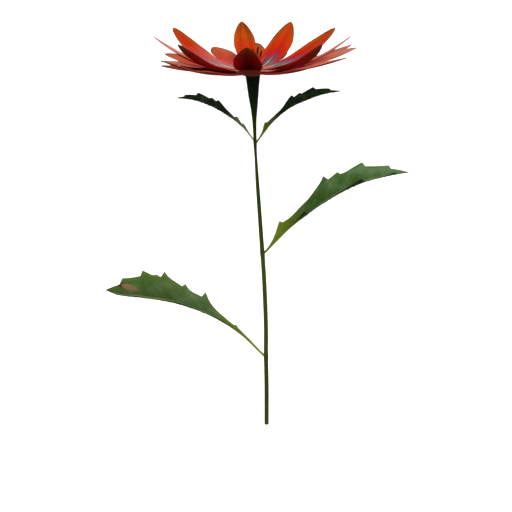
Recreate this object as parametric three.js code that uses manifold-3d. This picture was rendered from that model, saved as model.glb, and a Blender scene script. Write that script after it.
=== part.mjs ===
// A cut zinnia-like flower, lying on its back on a table.
//
// It is modelled upright, in millimetres: x to the viewer's right, y up the stem from its cut end, z toward
// the viewer. At the end the whole flower is laid back onto three low points: the tips of two petals behind
// the head and the lower rim of the cut end. Its group then has +Z up, with the origin under its middle.
import * as THREE from "three";
import { mergeVertices } from "three/addons/utils/BufferGeometryUtils.js";
import Module from "manifold-3d";

const wasm = await Module();
wasm.setup();

// Driving sizes
const SEAT_GAP = 0.3; // between pieces that touch

// Stem: [height up the stem, sideways place of its middle, radius]. It leans left, is thinnest under the
// upper leaves and widens into a funnel-shaped neck under the head.
const STEM_PROFILE = [
  [0, 0.2, 1.3],
  [24, 0.15, 1.33],
  [46, -0.25, 1.3],
  [63, -0.3, 1.29],
  [94, -1.5, 1.29],
  [124, -3.5, 1.22],
  [153, -5.5, 1.04],
  [168, -6.4, 0.8],
  [175, -6.8, 0.85],
  [191, -7.3, 1.25],
  [198, -7.5, 1.98],
  [205, -7.85, 2.84],
  [212, -8.1, 3.56],
  [217.3, -8.2, 4.2],
];
const STEM_SAG = 1.6; // how far the middle of the stem bows away from the viewer
const STEM_SIDES = 10;
const STEM_STEPS = 30;
const NECK_TOP = STEM_PROFILE.at(-1)[0];

// Leaves: each leaves the stem at a height. rib holds points of its midrib from there. edge is the outline of
// the half behind the midrib: [distance along the midrib, distance out from it], a tooth at each sharp peak.
// nearTurn is how many degrees the near half, which points at the viewer, leans toward the other.
const LEAVES = {
  leaf_lower_left: {
    height: 43.8,
    nearTurn: 18,
    rib: [[-0.6, 0.6, 0], [-17, 17.6, 3], [-34.1, 28.8, 4.5], [-55.2, 36.3, 4], [-74.6, 38.8, 1.5],
      [-90, 39.2, -3], [-97.4, 41.2, -6]],
    edge: [[0, 0.4], [12, 0.7], [24, 1.7], [27.2, 2.7], [28, 1.7], [34, 2.4], [42.5, 4.4], [47.6, 7.4],
      [51.4, 11.7], [52.6, 8.3], [60, 9.9], [63.5, 12.7], [65.2, 10.8], [72.5, 13.9], [76, 17.1],
      [77.6, 13.4], [80.2, 14.6], [82.1, 14], [89.2, 16.3], [89.8, 12.8], [94, 11.7], [103.2, 10.1],
      [103.6, 6.3], [107, 3.9], [110.6, 0.3]],
  },
  leaf_lower_right: {
    height: 109.7,
    nearTurn: 13.5,
    rib: [[0.4, -0.4, 0], [17.3, 18.2, 4], [37.5, 33.7, 5], [56.6, 43.4, 2.5], [75.6, 47.4, -3],
      [86.8, 48.3, -7]],
    edge: [[0, 0.4], [7, 1], [13.5, 2.9], [21.3, 7.2], [22.3, 5.2], [27.4, 4.6], [36, 5.6], [43.4, 6.8],
      [53.8, 11.5], [56.8, 13.9], [58.4, 10.6], [64.8, 11.9], [65.8, 10.1], [68.6, 9.6], [79.3, 11.3],
      [80.1, 8.4], [86, 7.1], [94, 6.1], [94.7, 3.8], [100, 2], [104, 0.3]],
  },
  leaf_upper_left: {
    height: 178.1,
    nearTurn: 9.5,
    rib: [[0, 0, 0], [-6.8, 9.1, 2], [-17.5, 17.6, 3], [-27.4, 22.8, 2.5], [-36.9, 25.3, 0],
      [-45.6, 25.4, -4]],
    edge: [[0, 0.35], [8, 0.6], [12.7, 1.7], [14, 0.9], [18.3, 2.6], [19.4, 1.3], [25.7, 2.6], [32.1, 5.1],
      [33, 3.8], [36, 4.5], [37.2, 3.6], [44.2, 4.6], [45, 2.9], [51.6, 2.1], [52.2, 1.1], [55.8, 0.3]],
  },
  leaf_upper_right: {
    height: 176.9,
    nearTurn: 9.5,
    rib: [[0.2, 0, 0], [9.9, 13.6, 3], [20.3, 22.3, 3], [29.7, 26.5, 2], [39.7, 29.7, 0], [49.9, 30.7, -4]],
    edge: [[0, 0.35], [8, 1], [13.7, 3.2], [14.6, 2.1], [20, 1.9], [26.3, 2.4], [34.4, 6.1], [35.3, 4.3],
      [38.9, 5.3], [40.1, 4.4], [47.6, 5.6], [48.6, 3.9], [56.2, 2.5], [57, 1.4], [62, 0.3]],
  },
};
const LEAF_THICKNESS = 0.72;
const LEAF_STALK_THICKNESS = 0.95;
const LEAF_FAR_TURN = 25; // degrees that the far half leans away from the viewer
const LEAF_NEAR_WIDTH = 0.82; // of the far half's width
const LEAF_WAVE = 2; // degrees that the near half waves inward
const LEAF_WAVE_LENGTH = 27;
const LEAF_ARCH = 0.09; // how much each half arches, of its width
const LEAF_STEP = 4; // longest step along the midrib

// Ray petals in three whorls: [turn round the head in degrees, 0 toward the viewer and 90 to the right; reach
// of the tip from the axis; rise of the tip above the root; width; upturn, where 1 is straight and 2 a
// parabola; twist in degrees at the tip, which turns the inner face toward the viewer where it is positive on
// the right and negative on the left; how far its middle sags; how far its middle sways along its width; and
// taper, where less is fuller toward the tip]
const WHORLS = {
  inner: {
    rootHeight: 0.6,
    petals: [[356.3, 50.5, 20.9, 15.9, 2.1, 0, 0, -1, 0.77], [50, 50.5, 19.9, 14.6, 2.75, -9, 0, 0, 0.72],
      [107.5, 50.6, 22.3, 17.4, 2.35, 5, -0.9, 0, 0.64], [153, 50.5, 22, 14.8, 2.3, 4, 0, -0.2, 0.7],
      [188, 50.2, 21.5, 13.4, 1.9, 0, 0, 0, 0.72], [248, 50.7, 21.9, 14.8, 2.65, -10, 0, 0, 0.58],
      [304.6, 50.7, 19.3, 15, 2.6, 9, 0, -0.3, 0.68]],
  },
  middle: {
    rootHeight: 0,
    petals: [[84, 57, 21.6, 7, 2.25, 5, -0.3, 0, 0.72], [92, 60.2, 13.3, 13.6, 1.9, 8, 0, 0, 0.72],
      [104, 60, 13.2, 13, 2.15, 0, 0, 0, 0.72], [276, 57.5, 21.2, 10, 2.3, -3, -0.5, 0, 0.72],
      [177, 43, 10, 12.6, 1.5, 0, 0, 0, 0.72]],
  },
  outer: {
    rootHeight: -0.5,
    petals: [[358, 53, 6.3, 16.2, 1.25, 0, 0, 0, 0.6], [34, 54, 9.3, 13.4, 1.6, 0, 0.2, 0, 0.72],
      [69, 57, 11.5, 13, 1.85, 0, -0.1, 0, 0.72], [129, 49, 5, 13.6, 1.8, 0, 0, 0, 0.72],
      [158, 52.3, 5.4, 11.6, 1.6, 0, 0, 0, 0.72], [206, 54.4, 7.2, 15, 1.9, 0, 0, 0.6, 0.72],
      [228, 53, 5.6, 13.6, 1.6, 0, 0, 0, 0.72], [288.5, 52.8, 13, 15, 1.5, -19, 0.8, -0.8, 0.72],
      [257, 55.6, 4.2, 12.6, 1.8, 0, 0, 0, 0.72], [270, 53.5, 3.6, 11.5, 3, -1, 0.2, 0, 0.64],
      [293.6, 56.6, 10.4, 12.6, 2.2, 4, 1.2, 0, 0.72], [326, 53.5, 7.8, 13.6, 1.8, 0, 0.1, 0, 0.72]],
  },
};
const PETAL_ROOT_RADIUS = 3; // where the petals start, from the axis
const PETAL_THICKNESS = 0.75;
const PETAL_CLAW = 0.24; // width at the root, of the whole width
const PETAL_SHOULDER = 1.1; // how slowly it widens from the root
const PETAL_CHANNEL = 0.16; // how far its edges rise, of its half width
const PETAL_TIP = 0.4; // half width of the very tip
const PETAL_STEPS = 9;
const PETAL_STEP_CROWDING = 0.8; // under 1, its steps crowd toward the tip
const PETAL_LANES = 4;

// Centre of the head: the seat that the petals are sunk in, and the tuft of disc florets on it
const HEAD_PLANE = 220.1; // height of the petals' roots up the stem
const SEAT_RADIUS = 5.6;
const SEAT_TOP = 1.3; // above the roots
const DISC_RADIUS = 3.7;
const DISC_CORE_HEIGHT = 5.6;
const BUDS = 30;
const BUD_REACH = 3.5; // of the outermost bud's root from the axis
const BUD_TOPS = [7.8, 6]; // above the petals' roots, in the middle and at the edge of the tuft
const BUD_SPREAD = 1.3; // how much farther out a bud's top lies than its root
const BUD_PROFILE = [[0, 0.4], [0.8, 0.52], [0.93, 0.44], [1, 0.2]]; // [share of its length, radius]
const OPEN_FLORETS = [ // [turn round the head, distances of its root and its tip from the axis, tip's height]
  [95, 2.4, 5.2, 12], [143, 2.2, 5.2, 13.5], [178, 1, 1.4, 12.7], [25, 2, 2.8, 11.4], [300, 1.8, 2.4, 10.8],
  [238, 1.8, 2.4, 10.6],
];
const OPEN_PROFILE = [[0, 0.4], [0.58, 0.5], [0.72, 1.05], [0.76, 0.5], [0.93, 0.48], [1, 0.2]];
const FLORET_SIDES = 6;
const GOLDEN_TURN = 137.5077;

const radians = THREE.MathUtils.degToRad;
const mix = THREE.MathUtils.lerp;
const vector = (x, y, z) => new THREE.Vector3(x, y, z);
const sumOf = (one, share, other, rest) => one.clone().multiplyScalar(share).addScaledVector(other, rest);

// Value at x on a polyline of [x, value] pairs.
function alongPolyline(pairs, x) {
  const next = pairs.findIndex(([at]) => at >= x);
  if (next <= 0) return next === 0 ? pairs[0][1] : pairs.at(-1)[1];
  const [[x0, y0], [x1, y1]] = [pairs[next - 1], pairs[next]];
  return mix(y0, y1, (x - x0) / (x1 - x0));
}

// One closed body from its points and triangles, facing out.
function closedGeometry(points, triangles) {
  let volume = 0;
  for (const [a, b, c] of triangles)
    volume += points[a].dot(points[b].clone().cross(points[c]));
  const facing = volume < 0 ? triangles.map(([a, b, c]) => [a, c, b]) : triangles;
  const geometry = new THREE.BufferGeometry().setFromPoints(points);
  return geometry.setIndex(facing.flat());
}

// A body skinned over rings of points, each ring going round the same way, with fans over both ends.
function ringBody(rings) {
  const sides = rings[0].length;
  const points = rings.flat();
  const triangles = [];
  for (let ring = 0; ring < rings.length - 1; ring++)
    for (let side = 0; side < sides; side++) {
      const a = ring * sides + side;
      const b = ring * sides + ((side + 1) % sides);
      triangles.push([a, b, b + sides], [a, b + sides, a + sides]);
    }
  const last = (rings.length - 1) * sides;
  for (let side = 1; side < sides - 1; side++) {
    triangles.push([0, side + 1, side]);
    triangles.push([last, last + side, last + side + 1]);
  }
  return closedGeometry(points, triangles);
}

// A thick sheet from rows of points across it, on its front and its back, split alike on both faces.
function thickSheet(rows) {
  const across = rows[0].front.length;
  const points = rows.flatMap(({ front, back }) => [...front, ...back]);
  const front = (row, lane) => row * 2 * across + lane;
  const back = (row, lane) => front(row, lane) + across;
  const triangles = [];
  const wall = (a, b, c, d) => triangles.push([a, b, c], [a, c, d]);
  const end = rows.length - 1;
  for (let row = 0; row < end; row++) {
    for (let lane = 0; lane < across - 1; lane++) {
      wall(front(row, lane), front(row + 1, lane), front(row + 1, lane + 1), front(row, lane + 1));
      wall(back(row, lane), back(row, lane + 1), back(row + 1, lane + 1), back(row + 1, lane));
    }
    wall(front(row, 0), back(row, 0), back(row + 1, 0), front(row + 1, 0));
    const edge = across - 1;
    wall(front(row, edge), front(row + 1, edge), back(row + 1, edge), back(row, edge));
  }
  for (let lane = 0; lane < across - 1; lane++) {
    wall(front(0, lane), front(0, lane + 1), back(0, lane + 1), back(0, lane));
    wall(front(end, lane), back(end, lane), back(end, lane + 1), front(end, lane + 1));
  }
  return closedGeometry(points, triangles);
}

function solidOf(geometry) {
  const bare = geometry.clone();
  bare.deleteAttribute("normal");
  bare.deleteAttribute("uv");
  const merged = mergeVertices(bare, 1e-4);
  return new wasm.Manifold(
    new wasm.Mesh({
      numProp: 3,
      vertProperties: merged.attributes.position.array,
      triVerts: new Uint32Array(merged.index.array),
    }),
  );
}

function geometryOf(solid) {
  const mesh = solid.getMesh();
  const geometry = new THREE.BufferGeometry();
  geometry.setAttribute("position", new THREE.BufferAttribute(new Float32Array(mesh.vertProperties), 3));
  geometry.setIndex(new THREE.BufferAttribute(new Uint32Array(mesh.triVerts), 1));
  return geometry;
}

function namedMesh(name, solid, colour, roughness) {
  const geometry = geometryOf(solid).toNonIndexed();
  geometry.computeVertexNormals();
  const material = new THREE.MeshStandardMaterial({ color: colour, roughness, metalness: 0 });
  const mesh = new THREE.Mesh(geometry, material);
  mesh.name = name;
  return mesh;
}

// Stem: a round stalk with a square cut below and a funnel-shaped neck on top.
const stemBow = (height) => -STEM_SAG * Math.sin((Math.PI * height) / NECK_TOP);
const stemLine = new THREE.CatmullRomCurve3(
  STEM_PROFILE.map(([height, aside]) => vector(aside, height, stemBow(height))),
);
const stemWidths = new THREE.SplineCurve(
  STEM_PROFILE.map(([height, , radius]) => new THREE.Vector2(height, radius)),
);

function stemAt(height) {
  let [low, high] = [0, 1];
  while (high - low > 1e-5) {
    const middle = (low + high) / 2;
    if (stemLine.getPoint(middle).y < height) low = middle;
    else high = middle;
  }
  return { centre: stemLine.getPoint(low), radius: stemWidths.getPoint(low).y };
}

function stemBody(extra) {
  const rings = [];
  for (let step = 0; step <= STEM_STEPS; step++) {
    const { centre, radius } = stemAt((NECK_TOP * step) / STEM_STEPS);
    const ring = [];
    for (let side = 0; side < STEM_SIDES; side++) {
      const angle = (2 * Math.PI * (side + 0.5)) / STEM_SIDES;
      ring.push(vector(Math.sin(angle), 0, Math.cos(angle)).multiplyScalar(radius + extra).add(centre));
    }
    rings.push(ring);
  }
  return solidOf(ringBody(rings));
}

// Leaf: a blade folded along its midrib, whose far half shows its inner face and whose near half points at
// the viewer. It narrows to a winged stalk, which is cut to sit against the stem.
function leafBody({ height, nearTurn, rib, edge }) {
  const { centre: base } = stemAt(height);
  const midrib = new THREE.CatmullRomCurve3(rib.map((point) => vector(...point).add(base)));
  const length = midrib.getLength();
  const side = Math.sign(rib.at(-1)[0]);
  const places = edge.map(([along]) => along);
  for (let along = LEAF_STEP; along < length; along += LEAF_STEP)
    if (places.every((place) => Math.abs(place - along) > LEAF_STEP / 2)) places.push(along);
  places.sort((a, b) => a - b);
  const rows = places.map((along) => {
    const share = Math.min(along / length, 1);
    const point = midrib.getPointAt(share);
    const forward = midrib.getTangentAt(share);
    const toViewer = vector(0, 0, 1).projectOnPlane(forward).normalize();
    const upward = toViewer.clone().cross(forward).multiplyScalar(-side).negate().normalize();
    const farTurn = radians(LEAF_FAR_TURN);
    const wave = LEAF_WAVE * (0.5 + 0.5 * Math.sin((2 * Math.PI * along) / LEAF_WAVE_LENGTH)) ** 3;
    const lean = radians(nearTurn + wave);
    const far = sumOf(upward, Math.cos(farTurn), toViewer, -Math.sin(farTurn));
    const near = sumOf(toViewer, Math.cos(lean), upward, Math.sin(lean));
    const open = far.clone().add(near).normalize();
    const thickness = mix(LEAF_STALK_THICKNESS, LEAF_THICKNESS, Math.min(along / 30, 1));
    const depth = thickness / far.clone().cross(open).length();
    const width = alongPolyline(edge, along);
    const lane = (direction, reach, share) =>
      point
        .clone()
        .addScaledVector(direction, reach * share)
        .addScaledVector(open, LEAF_ARCH * reach * Math.sin(Math.PI * share));
    const nearWidth = width * mix(1, LEAF_NEAR_WIDTH, Math.min(along / 20, 1));
    const front = [
      lane(near, nearWidth, 1),
      lane(near, nearWidth, 0.5),
      point.clone(),
      lane(far, width, 0.4),
      lane(far, width, 0.75),
      lane(far, width, 1),
    ];
    const back = front.map((place) => place.clone().addScaledVector(open, -depth));
    return { front, back };
  });
  return solidOf(thickSheet(rows));
}

// Petal: a pointed, channelled strap that curves up from its sunk root.
function petalBody([turn, reach, rise, width, upturn, twist, sag, sway, taper], { rootHeight }) {
  const outward = vector(Math.sin(radians(turn)), 0, Math.cos(radians(turn)));
  const aside = vector(Math.cos(radians(turn)), 0, -Math.sin(radians(turn)));
  const fullness = (along) => along ** PETAL_SHOULDER * (1 - along) ** taper;
  const fullest = fullness(PETAL_SHOULDER / (PETAL_SHOULDER + taper));
  const rows = [];
  for (let step = 0; step <= PETAL_STEPS; step++) {
    const along = (step / PETAL_STEPS) ** PETAL_STEP_CROWDING;
    const bow = Math.sin(Math.PI * along);
    const climb = rise * upturn * along ** (upturn - 1) - sag * Math.PI * Math.cos(Math.PI * along);
    const forward = outward
      .clone()
      .multiplyScalar(reach - PETAL_ROOT_RADIUS)
      .add(vector(0, climb, 0))
      .normalize();
    const turned = radians(twist * along ** 1.5);
    const across = aside.clone().applyAxisAngle(forward, turned);
    const inward = forward.clone().cross(across).normalize();
    const centre = outward
      .clone()
      .multiplyScalar(mix(PETAL_ROOT_RADIUS, reach, along))
      .add(vector(0, rootHeight + rise * along ** upturn - sag * bow, 0))
      .addScaledVector(across, sway * bow);
    const spread = PETAL_CLAW * (1 - along) ** 3 + fullness(along) / fullest;
    const half = Math.max((width / 2) * spread, PETAL_TIP);
    const front = [];
    for (let lane = 0; lane <= PETAL_LANES; lane++) {
      const place = (2 * lane) / PETAL_LANES - 1;
      front.push(
        centre
          .clone()
          .addScaledVector(across, place * half)
          .addScaledVector(inward, PETAL_CHANNEL * half * place ** 2),
      );
    }
    const back = front.map((place) => place.clone().addScaledVector(inward, -PETAL_THICKNESS));
    rows.push({ front, back });
  }
  return solidOf(thickSheet(rows));
}

// A round body turned about the head's axis, from a profile of [radius, height above the roots].
function turnedBody(profile, sides) {
  const outline = profile.map(([radius, height]) => new THREE.Vector2(radius, height));
  return solidOf(new THREE.LatheGeometry(outline, sides));
}

// All petals, fused to the seat that they are sunk in, with room left in the middle for the florets. Tiny
// gaps shut in between their roots are filled.
function rayPetals() {
  const seatBottom = NECK_TOP + SEAT_GAP - HEAD_PLANE;
  const seat = [[0, seatBottom], [SEAT_RADIUS - 1, seatBottom], [SEAT_RADIUS, -0.6],
    [SEAT_RADIUS - 0.4, SEAT_TOP], [0, SEAT_TOP]];
  const room = [[0, SEAT_TOP], [DISC_RADIUS + 0.7, SEAT_TOP], [DISC_RADIUS + 0.7, 20], [0, 20]];
  let bloom = turnedBody(seat, 16);
  for (const whorl of Object.values(WHORLS))
    for (const petal of whorl.petals) bloom = bloom.add(petalBody(petal, whorl));
  const shells = bloom.subtract(turnedBody(room, 16)).decompose();
  return wasm.Manifold.compose(shells.filter((shell) => shell.volume() > 0));
}

// One floret: a tube of the profile round the line from its root to its tip.
function floretBody([turn, rootAway, tipAway, tipHeight], profile, base) {
  const outward = vector(Math.sin(radians(turn)), 0, Math.cos(radians(turn)));
  const root = outward.clone().multiplyScalar(rootAway).setY(base);
  const tip = outward.clone().multiplyScalar(tipAway).setY(tipHeight);
  const axis = tip.clone().sub(root).normalize();
  const across = vector(0, 0, 1).cross(axis).normalize();
  const around = axis.clone().cross(across);
  const rings = profile.map(([share, radius]) =>
    Array.from({ length: FLORET_SIDES }, (_, side) => {
      const angle = (2 * Math.PI * side) / FLORET_SIDES;
      return root
        .clone()
        .lerp(tip, share)
        .addScaledVector(across, radius * Math.cos(angle))
        .addScaledVector(around, radius * Math.sin(angle));
    }),
  );
  return solidOf(ringBody(rings));
}

// Disc florets: a tuft of closed buds in a sunflower spiral on a domed core, and a few opened florets that
// stand far out of it, each with a column of anthers in its mouth.
function discFlorets() {
  const base = SEAT_TOP + SEAT_GAP;
  const dome = [[0, base], [DISC_RADIUS - 0.3, base], [DISC_RADIUS, base + 1.2],
    [DISC_RADIUS * 0.9, base + 2.8], [DISC_RADIUS * 0.5, DISC_CORE_HEIGHT], [0, DISC_CORE_HEIGHT + 0.4]];
  let tuft = turnedBody(dome, 12);
  for (let bud = 0; bud < BUDS; bud++) {
    const share = Math.sqrt((bud + 0.5) / BUDS);
    const top = mix(...BUD_TOPS, share ** 2);
    const line = [bud * GOLDEN_TURN, BUD_REACH * share, BUD_REACH * BUD_SPREAD * share, top];
    tuft = tuft.add(floretBody(line, BUD_PROFILE, base));
  }
  for (const floret of OPEN_FLORETS) tuft = tuft.add(floretBody(floret, OPEN_PROFILE, base));
  return tuft;
}

// The flower, upright
const upright = new THREE.Group();
const stemSeat = stemBody(SEAT_GAP);
upright.add(namedMesh("stem", stemBody(0), 0x36421c, 0.6));
for (const [name, leaf] of Object.entries(LEAVES))
  upright.add(namedMesh(name, leafBody(leaf).subtract(stemSeat), 0x4a6236, 0.65));
const petals = namedMesh("ray_petals", rayPetals(), 0xc43406, 0.55);
const florets = namedMesh("disc_florets", discFlorets(), 0x8a3a12, 0.7);
const head = new THREE.Group();
head.position.set(STEM_PROFILE.at(-1)[1], HEAD_PLANE, 0);
head.add(petals, florets);
upright.add(head);

// Lays the flower on its back: its lowest point on each side of the head's axis and its lowest point at the
// cut end come to lie on one level.
function layDown(flower) {
  const axis = STEM_PROFILE.at(-1)[1];
  const supports = { left: [], right: [], cut: [] };
  flower.updateMatrixWorld(true);
  flower.traverse((piece) => {
    if (!piece.isMesh) return;
    const place = piece.geometry.getAttribute("position");
    for (let index = 0; index < place.count; index++) {
      const point = vector().fromBufferAttribute(place, index).applyMatrix4(piece.matrixWorld);
      if (piece.name === "ray_petals") supports[point.x < axis ? "left" : "right"].push(point);
      if (piece.name === "stem" && point.y < 1) supports.cut.push(point);
    }
  });
  const up = vector(0, 0, 1);
  const lean = new THREE.Quaternion().setFromAxisAngle(vector(1, 0, 0), radians(12));
  for (let pass = 0; pass < 6; pass++) {
    const floor = up.clone().applyQuaternion(lean.clone().invert());
    const lower = (low, point) => (point.dot(floor) < low.dot(floor) ? point : low);
    const lowest = (points) => points.reduce(lower);
    const [left, right, cut] = [lowest(supports.left), lowest(supports.right), lowest(supports.cut)];
    const level = right.clone().sub(cut).cross(left.clone().sub(cut)).normalize();
    lean.setFromUnitVectors(level, up);
  }
  flower.quaternion.copy(lean);
}

layDown(upright);
const group = new THREE.Group();
group.add(upright);
const box = new THREE.Box3().setFromObject(group, true);
const middle = box.getCenter(vector());
upright.position.set(-middle.x, -middle.y, -box.min.z);

export default group;
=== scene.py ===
import math

import bpy
import numpy as np
from mathutils import Matrix, Quaternion, Vector


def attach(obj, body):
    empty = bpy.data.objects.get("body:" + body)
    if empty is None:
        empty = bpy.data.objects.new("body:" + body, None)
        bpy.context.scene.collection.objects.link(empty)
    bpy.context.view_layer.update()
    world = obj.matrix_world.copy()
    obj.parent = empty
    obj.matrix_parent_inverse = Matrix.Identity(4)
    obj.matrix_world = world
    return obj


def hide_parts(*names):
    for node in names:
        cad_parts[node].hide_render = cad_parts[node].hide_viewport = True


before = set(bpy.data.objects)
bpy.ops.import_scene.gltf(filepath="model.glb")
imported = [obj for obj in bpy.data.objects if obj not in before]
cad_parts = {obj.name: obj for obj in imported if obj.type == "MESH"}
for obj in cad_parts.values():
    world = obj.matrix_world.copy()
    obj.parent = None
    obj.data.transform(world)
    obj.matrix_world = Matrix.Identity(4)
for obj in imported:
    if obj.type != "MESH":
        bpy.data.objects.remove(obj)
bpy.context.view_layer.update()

# ---- Stem ----
# One living green stalk, 2.6 mm thick and finely ribbed along its length. A knife cut it square below, and
# it widens at the top into the funnel-shaped neck that carries the head.
MM = 0.001
STEM_LINE = [  # height up the stem, sideways place of its middle, radius
    (0, 0.2, 1.3), (24, 0.15, 1.33), (46, -0.25, 1.3), (63, -0.3, 1.29), (94, -1.5, 1.29),
    (124, -3.5, 1.22), (153, -5.5, 1.04), (168, -6.4, 0.8), (175, -6.8, 0.85), (191, -7.3, 1.25),
    (198, -7.5, 1.98), (205, -7.85, 2.84), (212, -8.1, 3.56), (217.3, -8.2, 4.2),
]
NECK_TOP = STEM_LINE[-1][0]
STEM_SAG = 1.6  # how far its middle bows away from the viewer
STEM_SIDES = 60
STEM_RING_STEP = 0.8
STEM_RIBS = 10
RIB_RISE = 0.05  # of the radius
FURROW = 0.97  # of the radius, between two ribs
LEAF_HEIGHTS = (43.8, 109.7, 177.5)
NODE_SWELL = 0.16  # at each leaf
NODE_LENGTH = 2.4
PITH_EDGE = 0.9  # of the radius, where the cut pith ends
CUT_RINGS = [(0.25, 0.3), (0.25, 0.7), (0, 0.86), (0, 0.97), (0.05, 1)]  # height, share of the radius
# Each piece is drawn upright in millimetres, x right, y up the stem and z toward the viewer. The flower
# lies on its back, so this turn and this shift then lay the piece down.
LIE_TURN = Quaternion((0.9946239, 0.1035520, 0.0005403, 0.0))
LIE_PLACE = Vector((6.9273, -123.5173, 1.2451))


def laid(places):
    """Upright places in millimetres as places in the frame, in metres, with the flower on its back."""
    turn = np.array(LIE_TURN.to_matrix())
    return (np.asarray(places, float) @ turn.T + np.array(LIE_PLACE)) * MM


def smooth_line(points, steps=16):
    """Many close places along a smooth line through points, which may have any number of numbers each."""
    points = np.asarray(points, float)
    ends = np.vstack([2 * points[0] - points[1], points, 2 * points[-1] - points[-2]])
    share = np.linspace(0, 1, steps, endpoint=False)[:, None]
    made = []
    for a, b, c, d in zip(ends, ends[1:], ends[2:], ends[3:]):
        ab, bc, cd = (np.linalg.norm(end - start) ** 0.5 for start, end in ((a, b), (b, c), (c, d)))
        leaving = ((b - a) / ab - (c - a) / (ab + bc) + (c - b) / bc) * bc
        arriving = ((c - b) / bc - (d - b) / (bc + cd) + (d - c) / cd) * bc
        made.append(
            (2 * share**3 - 3 * share**2 + 1) * b
            + (share**3 - 2 * share**2 + share) * leaving
            + (3 * share**2 - 2 * share**3) * c
            + (share**3 - share**2) * arriving
        )
    return np.vstack([*made, points[-1]])


def read_off(line, places, by=0):
    """The rows of line at places, which are given in its column by."""
    return np.column_stack([np.interp(places, line[:, by], column) for column in line.T])


def ring_body(rings):
    """Points and faces of a closed body over rings of points, with a fan over each end."""
    rings = np.asarray(rings)
    count, sides = rings.shape[:2]
    points = np.vstack([rings.reshape(-1, 3), rings[0].mean(0), rings[-1].mean(0)])
    foot, top = len(points) - 2, len(points) - 1
    faces = []
    for ring in range(count - 1):
        for side in range(sides):
            a, b = ring * sides + side, ring * sides + (side + 1) % sides
            faces.append((a, b, b + sides, a + sides))
    last = (count - 1) * sides
    for side in range(sides):
        after = (side + 1) % sides
        faces.append((after, side, foot))
        faces.append((last + side, last + after, top))
    return points, faces


def make_piece(name, places, faces, finishes, finish_of_face=None, growth=None, sharp=55):
    """A piece of the flower from upright places in millimetres, all its faces pointing out. Edges that bend
    by more than sharp degrees aren't smoothed."""
    corners = np.array([places[list(face[:3])] for face in faces])
    inside_out = np.einsum("ij,ij->i", corners[:, 0], np.cross(corners[:, 1], corners[:, 2])).sum() < 0
    mesh = bpy.data.meshes.new(name)
    mesh.from_pydata(laid(places).tolist(), [], [face[::-1] if inside_out else face for face in faces])
    for finish in finishes:
        mesh.materials.append(finish)
    if finish_of_face is not None:
        mesh.polygons.foreach_set("material_index", np.asarray(finish_of_face, np.int32))
    for label, values in (growth or {}).items():
        kind = "FLOAT_VECTOR" if np.ndim(values) == 2 else "FLOAT"
        mesh.attributes.new(label, kind, "POINT").data.foreach_set(
            "vector" if kind == "FLOAT_VECTOR" else "value", np.asarray(values, np.float32).ravel()
        )
    mesh.shade_smooth()
    mesh.set_sharp_from_angle(angle=math.radians(sharp))
    piece = bpy.data.objects.new(name, mesh)
    bpy.context.scene.collection.objects.link(piece)
    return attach(piece, "root")


def linear(colour):
    """An sRGB colour such as "#36421c" as linear red, green, blue and alpha."""
    parts = [int(colour[at : at + 2], 16) / 255 for at in (1, 3, 5)]
    return (*(part / 12.92 if part <= 0.04045 else ((part + 0.055) / 1.055) ** 2.4 for part in parts), 1.0)


def add(finish, kind, links=(), stops=(), give=0, **settings):
    """Adds a shader node to a material and returns one of its outputs. settings are the node's options,
    links its inputs, in order or by name, as values or as other nodes' outputs, and stops the places and
    colours of a colour ramp."""
    node = finish.node_tree.nodes.new("ShaderNode" + kind)
    for option, value in settings.items():
        setattr(node, option, value)
    for place, colour in stops:
        ramp = node.color_ramp.elements
        stop = ramp[0] if place == stops[0][0] else ramp[-1] if place == stops[-1][0] else ramp.new(place)
        stop.position, stop.color = place, linear(colour)
    for socket, value in links.items() if isinstance(links, dict) else enumerate(links):
        if isinstance(value, bpy.types.NodeSocket):
            finish.node_tree.links.new(value, node.inputs[socket])
        else:
            node.inputs[socket].default_value = value
    return node.outputs[give] if node.outputs else None


def new_finish(name):
    finish = bpy.data.materials.new(name)
    finish.use_nodes = True
    finish.node_tree.nodes.clear()
    return finish


def grown_finish(name):
    """A new material, and the place where each point of its piece grew."""
    finish = new_finish(name)
    return finish, add(finish, "Attribute", attribute_name="growth", give="Vector")


def coat_with(finish, relief=None, **links):
    """Ends a material in one surface shader, whose inputs are given with _ for each space. relief is the
    pattern that its surface rises in, how strongly, and by how many millimetres. Plant skin is so finely
    hairy and waxy that hardly any of its gloss is left."""
    inputs = {name.replace("_", " "): value for name, value in links.items()}
    inputs["Specular IOR Level"] = 0.04
    if relief:
        pattern, strength, depth = relief
        rising = {"Height": pattern, "Strength": strength, "Distance": depth * MM}
        inputs["Normal"] = add(finish, "Bump", rising)
    add(finish, "OutputMaterial", {"Surface": add(finish, "BsdfPrincipled", inputs)})
    return finish


RIND_STREAKS = (4.0, 4.0, 0.9)  # to each radius round the stem and each centimetre up it: 0.3 by 11 mm
BLUSHES = 0.7  # to each centimetre


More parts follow.
